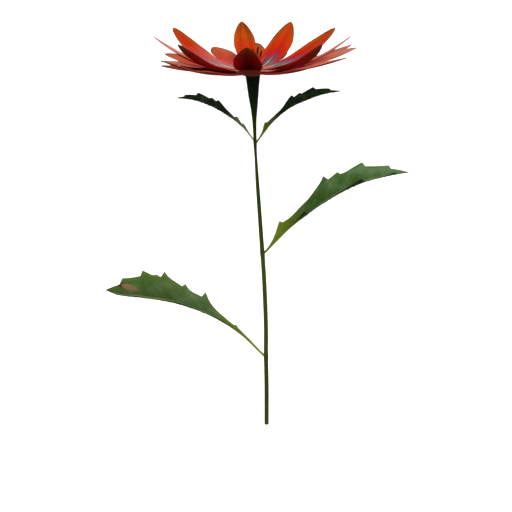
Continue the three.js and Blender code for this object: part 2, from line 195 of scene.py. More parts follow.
def stem_skin():
    """Living green rind: matte, in fine pale and dark lines along the ribs with a faint brown blush here
    and there, mid green near the cut and very dark green under the head, where the dark is a painted
    shade for the shadow that the head casts on the neck."""
    finish, grown = grown_finish("stem rind")
    height = add(finish, "SeparateXYZ", [grown], give="Z")
    lines = add(finish, "VectorMath", [grown, RIND_STREAKS], operation="MULTIPLY")
    streak = add(finish, "TexNoise", {"Vector": lines, "Scale": 1.0, "Detail": 4.0})
    climbing = add(finish, "MapRange", [height, 0.0, NECK_TOP / 10])
    shifted = add(finish, "Math", [streak, 0.05, climbing], operation="MULTIPLY_ADD")
    # The darkest stops, near the top of the neck, are painted shade for the head's shadow on it.
    green = add(finish, "ValToRGB", [shifted], [
        (0.0, "#3f4a20"), (0.12, "#364018"), (0.26, "#3d4818"), (0.5, "#3a4c14"), (0.64, "#344612"),
        (0.8, "#30400c"), (0.88, "#283808"), (0.94, "#142206"), (1.0, "#081205"),
    ])
    blush = add(finish, "TexNoise", {"Vector": grown, "Scale": BLUSHES, "Detail": 2.0})
    blushing = add(finish, "MapRange", [blush, 0.5, 0.68, 0.0, 0.3])
    low = add(finish, "MapRange", [climbing, 0.75, 0.6])
    brown = add(finish, "Math", [blushing, low], operation="MULTIPLY")
    hue = add(finish, "Mix", {0: brown, 6: green, 7: linear("#4a3018")}, data_type="RGBA", give=2)
    tone = add(finish, "MapRange", [streak, 0.3, 0.7, 0.8, 1.25])
    colour = add(finish, "VectorMath", {0: hue, "Scale": tone}, operation="SCALE")
    return coat_with(finish, Base_Color=colour, Roughness=0.55, IOR=1.4, relief=(streak, 0.5, 0.06))


def stem_pith():
    """Cut face: wet pale pith, speckled with vessels and a little browned by the air."""
    finish, grown = grown_finish("cut pith")
    speckle = add(finish, "TexVoronoi", {"Vector": grown, "Scale": 5.0}, give="Distance")
    colour = add(finish, "ValToRGB", [speckle], [(0.0, "#6f7a45"), (0.5, "#97985f"), (1.0, "#5f5a35")])
    return coat_with(finish, Base_Color=colour, Roughness=0.4, IOR=1.36, relief=(speckle, 0.4, 0.05))


stem_line = smooth_line([(x, h, -STEM_SAG * math.sin(math.pi * h / NECK_TOP), r) for h, x, r in STEM_LINE])


def ribbed(radius, turn):
    """How far out the rind lies at each turn round the stem, in radians."""
    return radius * (FURROW + RIB_RISE * (1 - np.cos(STEM_RIBS * turn)) / 2)


def rind_growth(angles, height, share=1.0):
    """Where a ring of the rind grew: round the stem, and how many centimetres up it."""
    centimetres = np.full(len(angles), height / 10)
    return np.column_stack([share * np.sin(angles), share * np.cos(angles), centimetres])


def stem_rings():
    """Rings of points up the stem, from the middle of the hollowed cut face to the top of the neck, and
    where each point grew."""
    wall = np.arange(0, NECK_TOP, STEM_RING_STEP)[1:]
    levels = [*CUT_RINGS, *((height, 1) for height in wall), (NECK_TOP, 1), (NECK_TOP, 0.5)]
    angles = np.linspace(0, 2 * math.pi, STEM_SIDES, endpoint=False)
    around = np.column_stack([np.sin(angles), np.zeros(STEM_SIDES), np.cos(angles)])
    rings, grown = [], []
    for height, share in levels:
        aside, _, bow, radius = read_off(stem_line, [height], by=1)[0]
        for node in LEAF_HEIGHTS:
            radius += NODE_SWELL * math.exp(-(((height - node) / NODE_LENGTH) ** 2))
        rings.append(np.array([aside, height, bow]) + around * ribbed(share * radius, angles)[:, None])
        grown.append(rind_growth(angles, height, share))
    return np.array(rings), np.vstack([*grown, grown[0].mean(0), grown[-1].mean(0)])


rings, grown = stem_rings()
places, faces = ring_body(rings)
on_cut = [max(np.linalg.norm(grown[corner][:2]) for corner in face) < PITH_EDGE for face in faces]
stem_finishes = [stem_skin(), stem_pith()]
stem = make_piece("stem_rind", places, faces, stem_finishes, on_cut, {"growth": grown}, sharp=40)
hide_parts("stem")

# ---- Stem hairs ----
# Short stiff pale hairs that grow out of the rind all the way up the stem. The ones that the flower lies on
# are left out, because they bend flat under it.
HAIRS = 1100
HAIR_SPAN = (4, NECK_TOP - 2)  # from how far to how far up the stem
HAIR_LENGTHS = (0.3, 0.75)
HAIR_THICKNESS = 0.04
HAIR_ROOT = 0.06  # how deep its root sits in the rind
HAIR_LEANS = ((-0.3, 0.3), (-0.2, 0.7), (-0.3, 0.3))  # sideways, up the stem and toward the viewer
HAIR_CLEARANCE = 0.2  # least height of its tip above the table

draw = np.random.default_rng(5)
height = draw.uniform(*HAIR_SPAN, HAIRS)
aside, _, bow, radius = read_off(stem_line, height, by=1).T
turn = draw.uniform(0, 2 * math.pi, HAIRS)
out = np.column_stack([np.sin(turn), np.zeros(HAIRS), np.cos(turn)])
root = np.column_stack([aside, height, bow]) + out * (ribbed(radius, turn) - HAIR_ROOT)[:, None]
way = out + np.column_stack([draw.uniform(*leans, HAIRS) for leans in HAIR_LEANS])
way /= np.linalg.norm(way, axis=1, keepdims=True)
tip = root + way * draw.uniform(*HAIR_LENGTHS, HAIRS)[:, None]
clear = laid(tip)[:, 2] > HAIR_CLEARANCE * MM
root, way, tip = root[clear], way[clear], tip[clear]
across = np.cross(way, (0.3, 1.0, 0.2))
across /= np.linalg.norm(across, axis=1, keepdims=True)
other = np.cross(way, across)
corners = [
    root + HAIR_THICKNESS / 2 * (math.cos(angle) * across + math.sin(angle) * other)
    for angle in np.radians((0, 120, 240))
]
places = np.stack([*corners, tip], 1).reshape(-1, 3)
faces = [
    tuple(4 * hair + corner for corner in face)
    for hair in range(len(tip))
    for face in ((0, 1, 3), (1, 2, 3), (2, 0, 3), (0, 2, 1))
]
hair_finish = coat_with(new_finish("pale stem hair"), Base_Color=linear("#9aa668"), Roughness=0.5, IOR=1.45)
hairs = make_piece("stem_hairs", places, faces, [hair_finish])
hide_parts("stem")

# ---- Leaves ----
# Four toothed leaves on narrow winged stalks that grow out of the stem. Each blade is a third of a
# millimetre thick and folded along its midrib, with side veins sunk in its face that run out to the teeth.
LEAVES = {
    # height: how far up the stem it leaves; near_turn: degrees that its near half leans up from the viewer;
    # keel: depth of the ridge under its midrib; curls: from where to where along it its near half curls in,
    # and by how many degrees; rib: the midrib's way from the stem; edge: a half's outline, along and out
    "leaf_lower_left": {
        "height": 43.8, "near_turn": 18, "keel": 0.55,
        "rib": [(-0.6, 0.6, 0), (-17, 17.6, 3), (-34.1, 28.8, 4.5), (-55.2, 36.3, 4), (-74.6, 38.8, 1.5),
                (-90, 39.2, -3), (-97.4, 41.2, -6)],
        "edge": [(0, 0.4), (12, 0.7), (24, 1.7), (27.2, 2.7), (28, 1.7), (34, 2.4), (42.5, 4.4),
                 (47.6, 7.4), (51.4, 11.7), (52.6, 8.3), (60, 9.9), (63.5, 12.7), (65.2, 10.8),
                 (72.5, 13.9), (76, 17.1), (77.6, 13.4), (80.2, 14.6), (82.1, 14), (89.2, 16.3),
                 (89.8, 12.8), (94, 11.7), (103.2, 10.1), (103.6, 6.3), (107, 3.9), (110.6, 0.3)],
    },
    "leaf_lower_right": {
        "height": 109.7, "near_turn": 13.5, "keel": 0.5,
        "curls": [(30.5, 37.5, 20), (63, 73.8, 14), (87, 95.5, 12)],
        "rib": [(0.4, -0.4, 0), (17.3, 18.2, 4), (37.5, 33.7, 5), (56.6, 43.4, 2.5), (75.6, 47.4, -3),
                (86.8, 48.3, -7)],
        "edge": [(0, 0.4), (7, 1), (13.5, 2.9), (21.3, 7.2), (22.3, 5.2), (27.4, 4.6), (36, 5.6),
                 (43.4, 6.8), (53.8, 11.5), (56.8, 13.9), (58.4, 10.6), (64.8, 11.9), (65.8, 10.1),
                 (68.6, 9.6), (79.3, 11.3), (80.1, 8.4), (86, 7.1), (94, 6.1), (94.7, 3.8), (100, 2),
                 (104, 0.3)],
    },
    "leaf_upper_left": {
        "height": 178.1, "near_turn": 9.5, "keel": 0.2,
        "rib": [(0, 0, 0), (-6.8, 9.1, 2), (-17.5, 17.6, 3), (-27.4, 22.8, 2.5), (-36.9, 25.3, 0),
                (-45.6, 25.4, -4)],
        "edge": [(0, 0.35), (8, 0.6), (12.7, 1.7), (14, 0.9), (18.3, 2.6), (19.4, 1.3), (25.7, 2.6),
                 (32.1, 5.1), (33, 3.8), (36, 4.5), (37.2, 3.6), (44.2, 4.6), (45, 2.9), (51.6, 2.1),
                 (52.2, 1.1), (55.8, 0.3)],
    },
    "leaf_upper_right": {
        "height": 176.9, "near_turn": 9.5, "keel": 0.2,
        "rib": [(0.2, 0, 0), (9.9, 13.6, 3), (20.3, 22.3, 3), (29.7, 26.5, 2), (39.7, 29.7, 0),
                (49.9, 30.7, -4)],
        "edge": [(0, 0.35), (8, 1), (13.7, 3.2), (14.6, 2.1), (20, 1.9), (26.3, 2.4), (34.4, 6.1),
                 (35.3, 4.3), (38.9, 5.3), (40.1, 4.4), (47.6, 5.6), (48.6, 3.9), (56.2, 2.5), (57, 1.4),
                 (62, 0.3)],
    },
}
BLADE_THICKNESS = 0.34
BLADE_EDGE_THICKNESS = 0.16
FAR_TURN = 25  # degrees that the far half leans away from the viewer
NEAR_WIDTH = 0.82  # of the far half's width
NEAR_NARROWS = 20  # how far along the leaf the near half grows that narrow
BLADE_WAVE = 2  # degrees that the near half waves inward
BLADE_WAVE_LENGTH = 27
BLADE_ARCH = 0.09  # of each half's width
BLADE_RIPPLE = 0.3  # at the edge of a half that is at least RIPPLED_WIDTH wide
RIPPLED_WIDTH = 8
RIPPLE_LENGTH = 5.5  # to each radian
RIPPLE_SHIFT = 2  # radians between the ripples of the two halves
BLADE_ROW_STEP = 0.6
BLADE_ROW_GAP = 0.12  # the least between two rows
BLADE_LANES = (0.04, 0.09, 0.16, 0.25, 0.35, 0.46, 0.57, 0.68, 0.79, 0.9)  # of the untoothed width
TOOTH_TURN = 40  # degrees of a bend in the outline that makes a corner
TOOTH_SPAN = 4  # how far from a place the outline's notches narrow its untoothed width
UNTOOTHED = 0.96  # of the width, at the most
KEEL_WIDTH = 0.5
KEEL_LOSS = 0.7  # of its depth, on the way to the leaf's tip
MIDRIB_WIDTH = 0.35
VEIN_SINK = 0.11
VEIN_WIDTH = 0.3
VEIN_ROOT, VEIN_TAPER = 1.15, 0.6  # of that width: at the midrib, and lost on the way to the vein's end
VEIN_BEND = 0.85  # power that bends a vein outward
VEIN_ACROSS = 0.75  # width across a slanting vein, for each millimetre along the leaf
VEIN_SLANT = 1.1  # how far along a vein runs for each millimetre out
VEIN_GAP = 5  # between two teeth that have another vein between them
MIDDLE_VEIN_REACH = 0.85  # of the way to the edge, for such a vein


def toothed_outline(edge):
    """The outline with sharp teeth and smooth runs between them, and its sharp outer points."""
    edge = np.asarray(edge, float)
    ahead = np.diff(edge, axis=0)
    bend = np.degrees(np.abs(np.diff(np.arctan2(ahead[:, 1], ahead[:, 0]))))
    corners = [0, *(np.flatnonzero(bend > TOOTH_TURN) + 1), len(edge) - 1]
    parts = [edge[a : b + 1] for a, b in zip(corners, corners[1:])]
    runs = [smooth_line(part) if len(part) > 2 else part for part in parts]
    peaks = [edge[at] for at in corners[1:-1] if edge[at][1] > edge[at + 1][1]]
    return np.vstack(runs), peaks


def blade_veins(peaks, length, outline):
    """Side veins as [where it leaves the midrib, where it ends, how far out]: one to each tooth, and others
    between them."""
    ends = [tuple(peak) for peak in peaks]
    for (a, _), (b, _) in zip(ends, [*ends[1:], (length, 0)]):
        if b - a > VEIN_GAP:
            middle = (a + b) / 2
            edge = float(np.interp(middle, outline[:, 0], outline[:, 1]))
            ends.append((middle, MIDDLE_VEIN_REACH * edge))
    return [(max(along - VEIN_SLANT * out - 1, 0), along, out) for along, out in ends]


def vein_strength(along, out, veins):
    """1 on a side vein and 0 away from it."""
    strength = np.zeros(np.broadcast(along, out).shape)
    for start, end, reach in veins:
        share = np.clip(out / reach, 0, 1)
        way = start + (end - start) * share**VEIN_BEND
        apart = (along - way) * VEIN_ACROSS
        width = VEIN_WIDTH * (VEIN_ROOT - VEIN_TAPER * share)
        strength = np.maximum(strength, np.exp(-((apart / width) ** 2)) * (out < reach))
    return strength


def sheet_faces(rows, lanes, rim_kind):
    """The faces of a closed thin sheet over two grids of points, its front and its back, and what each of
    them is: 0 for the front, 1 for the back, and rim_kind for the rim."""
    grid = np.arange(rows * lanes).reshape(rows, lanes)
    a, b, c, d = grid[:-1, :-1], grid[1:, :-1], grid[1:, 1:], grid[:-1, 1:]
    skin = np.stack([a, b, c, d], -1).reshape(-1, 4)
    under = np.stack([a, d, c, b], -1).reshape(-1, 4) + rows * lanes
    rim = []
    for edge in (grid[:, 0], grid[-1], grid[::-1, -1], grid[0, ::-1]):
        other = edge + rows * lanes
        rim.append(np.stack([edge[:-1], other[:-1], other[1:], edge[1:]], -1))
    rim = np.vstack(rim)
    kinds = [0] * len(skin) + [1] * len(under) + [rim_kind] * len(rim)
    return [tuple(int(corner) for corner in face) for face in np.vstack([skin, under, rim])], kinds


def unit(vectors):
    return vectors / np.linalg.norm(vectors, axis=-1, keepdims=True)


def leaf_sheet(leaf):
    """Points of a leaf's face and back, where each grew (along the midrib, out from it, and at what share
    of the way to the edge), and how much of it is vein."""
    outline, peaks = toothed_outline(leaf["edge"])
    stem_at = read_off(stem_line, [leaf["height"]], by=1)[0, :3]
    rib = smooth_line(np.array(leaf["rib"]) + stem_at)
    travelled = np.concatenate([[0], np.cumsum(np.linalg.norm(np.diff(rib, axis=0), axis=1))])
    length = travelled[-1]
    corners = [x for x, _ in leaf["edge"] if x < length]
    along = np.unique(np.round([*np.arange(0, length, BLADE_ROW_STEP), *corners, length], 2))
    along = along[np.concatenate([[True], np.diff(along) > BLADE_ROW_GAP])]
    point = np.column_stack([np.interp(along, travelled, column) for column in rib.T])
    forward = unit(np.gradient(point, along, axis=0))
    side = math.copysign(1, leaf["rib"][-1][0])
    viewer = np.array([0, 0, 1.0])
    toward = unit(viewer - forward * (forward @ viewer)[:, None])
    upward = unit(np.cross(toward, forward) * side)
    waved = 0.5 + 0.5 * np.sin(2 * math.pi * along / BLADE_WAVE_LENGTH)
    turn = leaf["near_turn"] + BLADE_WAVE * waved**3
    for start, end, degrees in leaf.get("curls", []):
        turn += degrees * np.interp(along, [start, end, end + 1], [0, 1, 0])
    lean = np.radians(turn)[:, None]
    back_turn = math.radians(FAR_TURN)
    far = upward * math.cos(back_turn) - toward * math.sin(back_turn)
    near = toward * np.cos(lean) + upward * np.sin(lean)
    opening = unit(far + near)
    width = np.interp(along, outline[:, 0], outline[:, 1])
    smallest = np.array([width[np.abs(along - place) < TOOTH_SPAN].min() for place in along])
    plain = np.array([smallest[np.abs(along - place) < TOOTH_SPAN + 1].mean() for place in along])
    plain = np.minimum(plain, width * UNTOOTHED)
    shares = np.array([0, *BLADE_LANES])
    out = np.column_stack([plain[:, None] * shares, (plain + width) / 2, width])
    veins = blade_veins(peaks, length, outline)
    front, back, grown, veined = [], [], [], []
    halves = ((near, NEAR_WIDTH, RIPPLE_SHIFT, -1, slice(None, 0, -1)), (far, 1, 0, 1, slice(None)))
    for way, full_width, shift, sign, lanes in halves:
        narrowing = 1 + (full_width - 1) * np.clip(along / NEAR_NARROWS, 0, 1)[:, None]
        reach = out[:, lanes] * narrowing
        edge = width[:, None] * narrowing
        share = reach / edge
        vein = vein_strength(along[:, None], out[:, lanes], veins)
        waves = np.sin(along / RIPPLE_LENGTH + shift)[:, None]
        ripple = BLADE_RIPPLE * waves * share**2 * np.clip(edge / RIPPLED_WIDTH, 0, 1)
        rise = BLADE_ARCH * edge * np.sin(math.pi * share) + ripple - VEIN_SINK * vein
        ridge = leaf["keel"] * np.exp(-((reach / KEEL_WIDTH) ** 2))
        keel = ridge * (1 - KEEL_LOSS * along / length)[:, None]
        thinning = (BLADE_THICKNESS - BLADE_EDGE_THICKNESS) * share**3
        thickness = BLADE_THICKNESS - thinning + keel + VEIN_SINK * vein
        depth = thickness / np.linalg.norm(np.cross(far, opening), axis=1)[:, None]
        face = point[:, None] + way[:, None] * reach[..., None] + opening[:, None] * rise[..., None]
        front.append(face)
        back.append(face - opening[:, None] * depth[..., None])
        grown.append(np.stack([np.broadcast_to(along[:, None], reach.shape), sign * reach, share], -1))
        veined.append(np.maximum(vein, np.exp(-((reach / MIDRIB_WIDTH) ** 2))))
    return [np.concatenate(part, 1) for part in (front, back, grown, veined)]


CLOUDS = 0.09  # to each millimetre, so that one is about 11 mm wide
MOTTLES = 0.7
CELLS = 1.3  # far coarser than a leaf's real cells, which are too fine to show


def dried(finish, colour, grown, mottle, patch):
    """The leaf's colour with a patch on it that has dried tan, and rust brown toward the leaf's tip."""
    centre, half, turn, tan, rust = patch
    on_patch = [grown, (*centre, 0.0), (0.0, 0.0, turn), (*half, 1000.0)]
    local = add(finish, "Mapping", on_patch, vector_type="TEXTURE")
    away = add(finish, "VectorMath", [local], operation="LENGTH", give="Value")
    ragged = add(finish, "Math", [mottle, 0.9, away], operation="MULTIPLY_ADD")
    outward = add(finish, "SeparateXYZ", [local], give="X")
    sided = add(finish, "Math", [outward, 0.55], operation="MULTIPLY")
    rusty = add(finish, "Math", [ragged, 0.5, sided], operation="MULTIPLY_ADD")
    dry = add(finish, "MapRange", [ragged, 1.52, 1.36])
    hue = add(finish, "ValToRGB", [rusty], [(0.5, tan), (0.85, rust)])
    return add(finish, "Mix", {0: dry, 6: colour, 7: hue}, data_type="RGBA", give=2)


def leaf_skin(name, blade, margin, stalk, stalk_end, vein, drift=(0, 0), under=None, tip=None, patch=None):
    """Leaf skin: matte and a little uneven in green, yellower at the margins and on the stalk, with paler
    veins and a fine net of cells that only shows up close. The underside is painted far darker, a painted
    shade, but for its stalk and midrib. drift is how much paler its green is in the leaf's middle and at
    its tip, and tip is where along the leaf its brown point starts."""
    finish, grown = grown_finish(name)
    along, out, share = (add(finish, "SeparateXYZ", [grown], give=axis) for axis in "XYZ")
    veined = add(finish, "Attribute", attribute_name="vein", give="Fac")
    cloud = add(finish, "TexNoise", {"Vector": grown, "Scale": CLOUDS, "Detail": 3.0})
    mottle = add(finish, "TexNoise", {"Vector": grown, "Scale": MOTTLES, "Detail": 3.0})
    cells = add(finish, "TexVoronoi", {"Vector": grown, "Scale": CELLS}, feature="DISTANCE_TO_EDGE")
    paling = add(finish, "MapRange", [along, 45.0, 95.0, drift[0], drift[1]])
    shade = add(finish, "Math", [cloud, paling], operation="ADD")
    green = add(finish, "ValToRGB", [shade], list(zip((0.33, 0.5, 0.67), blade)))
    edge = add(finish, "MapRange", [share, 0.72, 1.0, 0.0, 0.75])
    edged = add(finish, "Mix", {0: edge, 6: green, 7: linear(margin)}, data_type="RGBA", give=2)
    low = add(finish, "MapRange", [along, stalk_end, stalk_end / 5])
    stalked = add(finish, "Mix", {0: low, 6: edged, 7: linear(stalk)}, data_type="RGBA", give=2)
    tone = add(finish, "MapRange", [mottle, 0.3, 0.7, 0.88, 1.12])
    toned = add(finish, "VectorMath", {0: stalked, "Scale": tone}, operation="SCALE")
    pale = add(finish, "Math", [veined, 0.16], operation="MULTIPLY")
    colour = add(finish, "Mix", {0: pale, 6: toned, 7: linear(vein)}, data_type="RGBA", give=2)
    if patch:
        colour = dried(finish, colour, grown, mottle, patch)
    if tip:
        point = add(finish, "MapRange", [along, tip, tip + 3.5])
        colour = add(finish, "Mix", {0: point, 6: colour, 7: linear("#5e3a2c")}, data_type="RGBA", give=2)
    # Painted shade: away from its stalk and midrib, the underside is painted near black for the shade under
    # the leaf's folded near half.
    if under:
        away = add(finish, "Math", [out], operation="ABSOLUTE")
        off_rib = add(finish, "MapRange", [away, 0.6, 1.5, 0.3, 0.9])
        on_blade = add(finish, "MapRange", [along, 8.0, 30.0])
        dark = add(finish, "Math", [off_rib, on_blade], operation="MULTIPLY")
        colour = add(finish, "Mix", {0: dark, 6: colour, 7: linear(under)}, data_type="RGBA", give=2)
    uneven = add(finish, "Math", [cells, 0.6, mottle], operation="MULTIPLY_ADD")
    gloss = {"Roughness": 0.8} if under else {"Roughness": 0.52, "Sheen_Weight": 0.12}
    return coat_with(finish, Base_Color=colour, IOR=1.42, relief=(uneven, 0.45, 0.12), **gloss)


LEAF_COLOURS = {
    # patch: its middle, half its length and width, its turn, and its two colours
    "leaf_lower_left": {
        "blade": ("#466028", "#526a3a", "#62784a"), "margin": "#587a1c", "vein": "#84985c",
        "stalk": "#84981c", "stalk_end": 44, "drift": (0.06, -0.14), "tip": 107,
        "patch": ((98.3, 5.0), (8.2, 1.9), 0.16, "#867048", "#4c2a1c"),
    },
    "leaf_lower_right": {
        "blade": ("#38561e", "#456430", "#5c784a"), "margin": "#42681c", "vein": "#7f9a5c",
        "stalk": "#7c8c10", "stalk_end": 40, "drift": (-0.08, 0.18), "tip": 101,
    },
    # The upper leaves' near black greens are painted shade for the head's shadow on them, and their palest
    # grey green stops are a painted sheen.
    "leaf_upper_left": {
        "blade": ("#101a10", "#22301e", "#50625a"), "margin": "#14200e", "vein": "#56685a",
        "stalk": "#98a880", "stalk_end": 25,
    },
    "leaf_upper_right": {
        "blade": ("#101c0e", "#1e3218", "#40583e"), "margin": "#14200e", "vein": "#46563a",
        "stalk": "#76861c", "stalk_end": 25,
    },
}
# Near black green, painted shade for the leaves' shaded undersides.
UNDERSIDE_SHADE = "#0c140a"
for name, leaf in LEAVES.items():
    front, back, grown, veined = leaf_sheet(leaf)
    faces, kinds = sheet_faces(*front.shape[:2], 1)
    both = np.vstack([front.reshape(-1, 3), back.reshape(-1, 3)])
    growth = {"growth": np.vstack([grown.reshape(-1, 3)] * 2), "vein": np.concatenate([veined.ravel()] * 2)}
    skins = [
        leaf_skin(name + " face", **LEAF_COLOURS[name]),
        leaf_skin(name + " underside", under=UNDERSIDE_SHADE, **LEAF_COLOURS[name]),
    ]
    blade = make_piece(name.replace("leaf", "leaf_blade"), both, faces, skins, kinds, growth)
    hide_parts(name)

# ---- Seat of the head ----
# The green cup on top of the neck that the ray petals and the disc florets grow from. It grew in one piece
# with the neck, and the petals hide all of it but its underside.
HEAD_ASIDE = STEM_LINE[-1][1]
HEAD_PLANE = 220.1  # height of the petals' roots up the stem
SEAT_PROFILE = [  # radius, height above the petals' roots
    (4.0, -3.0), (4.25, -2.6), (4.9, -1.7), (5.35, -0.9), (5.5, -0.2), (5.3, 0.5), (4.6, 1.0), (3.6, 1.25),
]
SEAT_SIDES = 60


def on_head(places):
    """Places round the head's axis and above the petals' roots, as upright places."""
    return np.asarray(places, float) + [HEAD_ASIDE, HEAD_PLANE, 0]


angles = np.linspace(0, 2 * math.pi, SEAT_SIDES, endpoint=False)
rings, grown = [], []
for radius, height in SEAT_PROFILE:
    out = ribbed(radius, angles)
    rings.append(np.column_stack([out * np.sin(angles), np.full(SEAT_SIDES, height), out * np.cos(angles)]))
    grown.append(rind_growth(angles, HEAD_PLANE + height))
places, faces = ring_body(rings)
growth = {"growth": np.vstack([*grown, (0, 0, HEAD_PLANE / 10), (0, 0, HEAD_PLANE / 10)])}
seat = make_piece("head_seat", on_head(places), faces, [stem_skin()], growth=growth)
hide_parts("ray_petals")

# ---- Ray petals ----
# Twenty-four pointed straps in three layers, each half a millimetre thick and pleated lengthwise, with its
# narrow root sunk in the seat. Their inner face is orange over red, mauve and grey, and their back maroon.
WHORLS = {
    # each layer: height of the roots, and its petals. Each petal: turn round the head, reach, rise, width,
    # upturn, twist, sag, sway and taper; then how much painted light it has at its left and at its right
    # edge, where 1 is a painted pink sheen and 2 a painted brown shade, and how far mauve spreads up it
    "inner": (0.6, [
        (356.3, 50.5, 20.9, 15.9, 2.1, 0, 0, -1, 0.77, 0, 0, 0),
        (50, 50.5, 19.9, 14.6, 2.75, -9, 0, 0, 0.72, 0, 0, 0),
        (107.5, 50.6, 22.3, 17.4, 2.35, 5, -0.9, 0, 0.64, 0, 0, 0.12),
        (153, 50.5, 22, 14.8, 2.3, 4, 0, -0.2, 0.7, 0, 0, 0.12),
        (188, 50.2, 21.5, 13.4, 1.9, 0, 0, 0, 0.72, 0, 0, 0),
        (248, 50.7, 21.9, 14.8, 2.65, -10, 0, 0, 0.58, 0.75, 0.9, 0.17),
        (304.6, 50.7, 19.3, 15, 2.6, 9, 0, -0.3, 0.68, 0, 0.3, 0),
    ]),
    "middle": (0, [
        (84, 57, 21.6, 7, 2.25, 5, -0.3, 0, 0.72, 0.78, 0.78, 0),
        (92, 60.2, 13.3, 13.6, 1.9, 8, 0, 0, 0.72, 0.75, 0.6, 0),
        (104, 60, 13.2, 13, 2.15, 0, 0, 0, 0.72, 0.4, 0.5, 0),
        (276, 57.5, 21.2, 10, 2.3, -3, -0.5, 0, 0.72, 1, 1, 0),
        (177, 43, 10, 12.6, 1.5, 0, 0, 0, 0.72, 0.1, 0.1, 0),
    ]),
    "outer": (-0.5, [
        (358, 53, 6.3, 16.2, 1.25, 0, 0, 0, 0.6, 2, 2, 0),
        (34, 54, 9.3, 13.4, 1.6, 0, 0.2, 0, 0.72, 0.3, 0.3, 0),
        (69, 57, 11.5, 13, 1.85, 0, -0.1, 0, 0.72, 0.65, 0.65, 0),
        (129, 49, 5, 13.6, 1.8, 0, 0, 0, 0.72, 0.5, 0.5, 0),
        (158, 52.3, 5.4, 11.6, 1.6, 0, 0, 0, 0.72, 0.2, 0.2, 0),
        (206, 54.4, 7.2, 15, 1.9, 0, 0, 0.6, 0.72, 0.4, 0, 0.05),
        (228, 53, 5.6, 13.6, 1.6, 0, 0, 0, 0.72, 0.4, 0.4, 0.03),
        (288.5, 52.8, 13, 15, 1.5, -19, 0.8, -0.8, 0.72, 0.3, 0.3, 0.02),
        (257, 55.6, 4.2, 12.6, 1.8, 0, 0, 0, 0.72, 0.65, 0.65, 0),
        (270, 53.5, 3.6, 11.5, 3, -1, 0.2, 0, 0.64, 0.15, 0.1, 0),
        (293.6, 56.6, 10.4, 12.6, 2.2, 4, 1.2, 0, 0.72, 0.6, 0.6, 0),
        (326, 53.5, 7.8, 13.6, 1.8, 0, 0.1, 0, 0.72, 0.3, 0.3, 0),
    ]),
}
TIP_CURLS = {358: 3.6}  # how far the tip curls up, of the petal that points at the viewer
CURL_START = 0.55  # of the petal's length
PETAL_ROOT_RADIUS = 3
PETAL_CLAW = 0.24  # width of its root, of its whole width
PETAL_SHOULDER = 1.1  # power that widens it from the root, as taper is the one that narrows it to the tip
PETAL_CHANNEL = 0.16  # how far its edges rise, of its half width
PETAL_TIP = 0.12  # its least half width
PETAL_THICKNESS = 0.46
PETAL_EDGE_THICKNESS = 0.16
TIP_THINNING = 0.4  # of what a petal is thicker in its middle than at its edge
PETAL_ROWS = 60
ROW_CROWDING = 0.8  # power that crowds them toward the tip
PETAL_LANES = 22
PLEATS = 3
PLEAT_DEPTH = 0.14
TWIST_POWER = 1.5  # it grows with this power of the way along the petal
EDGE_SWINGS = ((0.035, 9), (0.012, 31))  # of the half width, and radians along the petal
EDGE_RIPPLE = 0.32  # at the edge of a petal that is twice RIPPLED_HALF wide
RIPPLED_HALF = 7
RIPPLE_TURNS = 11  # radians along the petal
RIPPLE_LAG = 1.3  # radians from one edge to the other
MOST_MAUVE = 0.17  # in a petal whose tip has no painted sheen at all
UNPAINTED_TIP = (0.5, 0.8)  # shares of such a petal's length between which its painted sheen ends


